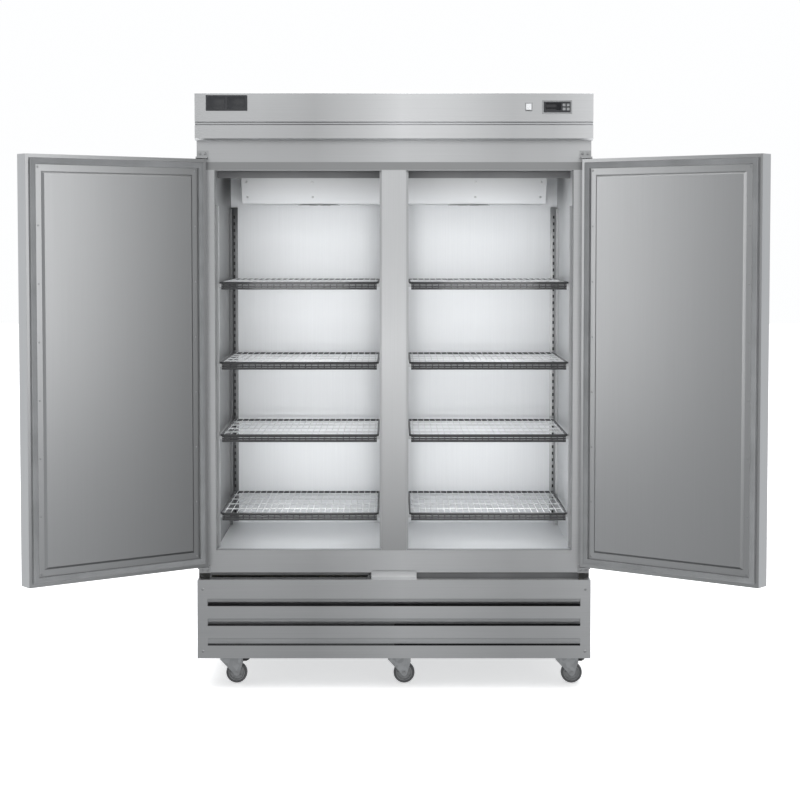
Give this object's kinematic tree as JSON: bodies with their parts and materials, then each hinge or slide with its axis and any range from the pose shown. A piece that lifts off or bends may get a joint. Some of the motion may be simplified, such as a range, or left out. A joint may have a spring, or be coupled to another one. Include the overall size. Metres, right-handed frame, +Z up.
{
  "type": "reach in refrigerator",
  "caption": "Two-section upright stainless reach-in refrigerator with open solid doors, wire shelves, a front header with controls, a louvred base cover and swivel casters.",
  "frame": {"origin": "centre of the footprint at rest with the doors open, on the floor", "axes": "+X to the viewer's right along the front, +Y from the front to the rear, +Z up"},
  "size_m": [2.4698, 1.2136, 2.094],
  "materials": {
    "stainless": "brushed stainless sheet",
    "galvanised": "zinc plated or galvanised steel",
    "aluminium": "plain satin aluminium sheet and fins",
    "foam": "rigid foam, matt",
    "seal": "soft grey extruded seal",
    "tread": "dark tread, satin",
    "coated_wire": "grey epoxy coated wire",
    "black_plastic": "black moulded plastic",
    "light_plastic": "light moulded plastic",
    "black_paint": "black paint over steel"
  },
  "bodies": {
    "cabinet": {"base_frame": "galvanised", "cabinet_wrap": "stainless", "rear_panel": "galvanised", "insulation": "foam", "inner_liner": "aluminium", "face_frame": "stainless", "center_mullion": "stainless", "header_fascia": "stainless", "louver_grille": "stainless", "hinge_bracket_left_lower": "stainless", "hinge_bracket_left_upper": "stainless", "hinge_bracket_right_lower": "stainless", "hinge_bracket_right_upper": "stainless", "shelf_standard_left_front": "stainless", "shelf_standard_left_rear": "stainless", "shelf_standard_right_front": "stainless", "shelf_standard_right_rear": "stainless", "shelf_post_center_front": "stainless", "shelf_post_center_rear": "stainless", "compressor": "black_paint", "condenser_coil": "aluminium", "condenser_fan_shroud": "galvanised", "evaporator_cover": "aluminium", "evaporator_coil": "aluminium", "drain_pan": "galvanised", "temperature_controller": "black_plastic"},
    "door_left": {"door_left_skin": "stainless", "door_left_core": "foam", "door_left_liner": "stainless", "door_left_gasket": "seal"},
    "door_right": {"door_right_skin": "stainless", "door_right_core": "foam", "door_right_liner": "stainless", "door_right_gasket": "seal"},
    "shelf_left_1": {"shelf_left_1": "coated_wire"},
    "shelf_right_1": {"shelf_right_1": "coated_wire"},
    "shelf_left_2": {"shelf_left_2": "coated_wire"},
    "shelf_right_2": {"shelf_right_2": "coated_wire"},
    "shelf_left_3": {"shelf_left_3": "coated_wire"},
    "shelf_right_3": {"shelf_right_3": "coated_wire"},
    "shelf_left_4": {"shelf_left_4": "coated_wire"},
    "shelf_right_4": {"shelf_right_4": "coated_wire"},
    "caster_swivel_front_left": {"caster_yoke_front_left": "galvanised"},
    "caster_roller_front_left": {"caster_wheel_front_left": "tread"},
    "brake_front_left": {"brake_pedal_front_left": "black_plastic"},
    "caster_swivel_front_center": {"caster_yoke_front_center": "galvanised"},
    "caster_roller_front_center": {"caster_wheel_front_center": "tread"},
    "caster_swivel_front_right": {"caster_yoke_front_right": "galvanised"},
    "caster_roller_front_right": {"caster_wheel_front_right": "tread"},
    "brake_front_right": {"brake_pedal_front_right": "black_plastic"},
    "caster_swivel_rear_left": {"caster_yoke_rear_left": "galvanised"},
    "caster_roller_rear_left": {"caster_wheel_rear_left": "tread"},
    "caster_swivel_rear_center": {"caster_yoke_rear_center": "galvanised"},
    "caster_roller_rear_center": {"caster_wheel_rear_center": "tread"},
    "caster_swivel_rear_right": {"caster_yoke_rear_right": "galvanised"},
    "caster_roller_rear_right": {"caster_wheel_rear_right": "tread"},
    "evaporator_fan_left": {"evaporator_fan_left": "light_plastic"},
    "evaporator_fan_right": {"evaporator_fan_right": "light_plastic"},
    "condenser_fan": {"condenser_fan": "black_plastic"},
    "power_switch": {"power_switch": "light_plastic"}
  },
  "joints": [
    {"name": "door_left_swing", "type": "hinge", "parent": "cabinet", "child": "door_left", "pos_m": [-0.68, -0.17015, 1.1475], "axis": [0, 0, -1], "range_deg": [-142.5, 7.5]},
    {"name": "door_right_swing", "type": "hinge", "parent": "cabinet", "child": "door_right", "pos_m": [0.68, -0.17015, 1.1475], "axis": [0, 0, 1], "range_deg": [-142.5, 7.5]},
    {"name": "shelf_left_1_slide", "type": "slide", "parent": "cabinet", "child": "shelf_left_1", "axis": [0, -1, 0], "range_m": [0, 0.7]},
    {"name": "shelf_right_1_slide", "type": "slide", "parent": "cabinet", "child": "shelf_right_1", "axis": [0, -1, 0], "range_m": [0, 0.7]},
    {"name": "shelf_left_2_slide", "type": "slide", "parent": "cabinet", "child": "shelf_left_2", "axis": [0, -1, 0], "range_m": [0, 0.7]},
    {"name": "shelf_right_2_slide", "type": "slide", "parent": "cabinet", "child": "shelf_right_2", "axis": [0, -1, 0], "range_m": [0, 0.7]},
    {"name": "shelf_left_3_slide", "type": "slide", "parent": "cabinet", "child": "shelf_left_3", "axis": [0, -1, 0], "range_m": [0, 0.7]},
    {"name": "shelf_right_3_slide", "type": "slide", "parent": "cabinet", "child": "shelf_right_3", "axis": [0, -1, 0], "range_m": [0, 0.7]},
    {"name": "shelf_left_4_slide", "type": "slide", "parent": "cabinet", "child": "shelf_left_4", "axis": [0, -1, 0], "range_m": [0, 0.7]},
    {"name": "shelf_right_4_slide", "type": "slide", "parent": "cabinet", "child": "shelf_right_4", "axis": [0, -1, 0], "range_m": [0, 0.7]},
    {"name": "caster_front_left_swivel", "type": "hinge", "parent": "cabinet", "child": "caster_swivel_front_left", "pos_m": [-0.598, -0.08215, 0.1], "axis": [0, 0, 1], "continuous": true},
    {"name": "caster_front_left_roll", "type": "hinge", "parent": "caster_swivel_front_left", "child": "caster_roller_front_left", "pos_m": [-0.562, -0.08215, 0.03768], "axis": [0, 1, 0], "continuous": true},
    {"name": "brake_front_left_press", "type": "hinge", "parent": "caster_swivel_front_left", "child": "brake_front_left", "pos_m": [-0.546, -0.08215, 0.084], "axis": [0, 1, 0], "range_deg": [0, 18]},
    {"name": "caster_front_center_swivel", "type": "hinge", "parent": "cabinet", "child": "caster_swivel_front_center", "pos_m": [0, -0.08215, 0.1], "axis": [0, 0, 1], "continuous": true},
    {"name": "caster_front_center_roll", "type": "hinge", "parent": "caster_swivel_front_center", "child": "caster_roller_front_center", "pos_m": [0.036, -0.08215, 0.03768], "axis": [0, 1, 0], "continuous": true},
    {"name": "caster_front_right_swivel", "type": "hinge", "parent": "cabinet", "child": "caster_swivel_front_right", "pos_m": [0.598, -0.08215, 0.1], "axis": [0, 0, 1], "continuous": true},
    {"name": "caster_front_right_roll", "type": "hinge", "parent": "caster_swivel_front_right", "child": "caster_roller_front_right", "pos_m": [0.634, -0.08215, 0.03768], "axis": [0, 1, 0], "continuous": true},
    {"name": "brake_front_right_press", "type": "hinge", "parent": "caster_swivel_front_right", "child": "brake_front_right", "pos_m": [0.65, -0.08215, 0.084], "axis": [0, 1, 0], "range_deg": [0, 18]},
    {"name": "caster_rear_left_swivel", "type": "hinge", "parent": "cabinet", "child": "caster_swivel_rear_left", "pos_m": [-0.598, 0.52985, 0.1], "axis": [0, 0, 1], "continuous": true},
    {"name": "caster_rear_left_roll", "type": "hinge", "parent": "caster_swivel_rear_left", "child": "caster_roller_rear_left", "pos_m": [-0.562, 0.52985, 0.03768], "axis": [0, 1, 0], "continuous": true},
    {"name": "caster_rear_center_swivel", "type": "hinge", "parent": "cabinet", "child": "caster_swivel_rear_center", "pos_m": [0, 0.52985, 0.1], "axis": [0, 0, 1], "continuous": true},
    {"name": "caster_rear_center_roll", "type": "hinge", "parent": "caster_swivel_rear_center", "child": "caster_roller_rear_center", "pos_m": [0.036, 0.52985, 0.03768], "axis": [0, 1, 0], "continuous": true},
    {"name": "caster_rear_right_swivel", "type": "hinge", "parent": "cabinet", "child": "caster_swivel_rear_right", "pos_m": [0.598, 0.52985, 0.1], "axis": [0, 0, 1], "continuous": true},
    {"name": "caster_rear_right_roll", "type": "hinge", "parent": "caster_swivel_rear_right", "child": "caster_roller_rear_right", "pos_m": [0.634, 0.52985, 0.03768], "axis": [0, 1, 0], "continuous": true},
    {"name": "evaporator_fan_left_spin", "type": "hinge", "parent": "cabinet", "child": "evaporator_fan_left", "pos_m": [-0.28, 0.30985, 1.73], "axis": [0, 0, 1], "continuous": true},
    {"name": "evaporator_fan_right_spin", "type": "hinge", "parent": "cabinet", "child": "evaporator_fan_right", "pos_m": [0.28, 0.30985, 1.73], "axis": [0, 0, 1], "continuous": true},
    {"name": "condenser_fan_spin", "type": "hinge", "parent": "cabinet", "child": "condenser_fan", "pos_m": [-0.37, -0.05015, 0.255], "axis": [0, 1, 0], "continuous": true},
    {"name": "power_switch_rock", "type": "hinge", "parent": "cabinet", "child": "power_switch", "pos_m": [0.467, -0.19115, 2.04], "axis": [1, 0, 0], "range_deg": [0, 20]}
  ]
}
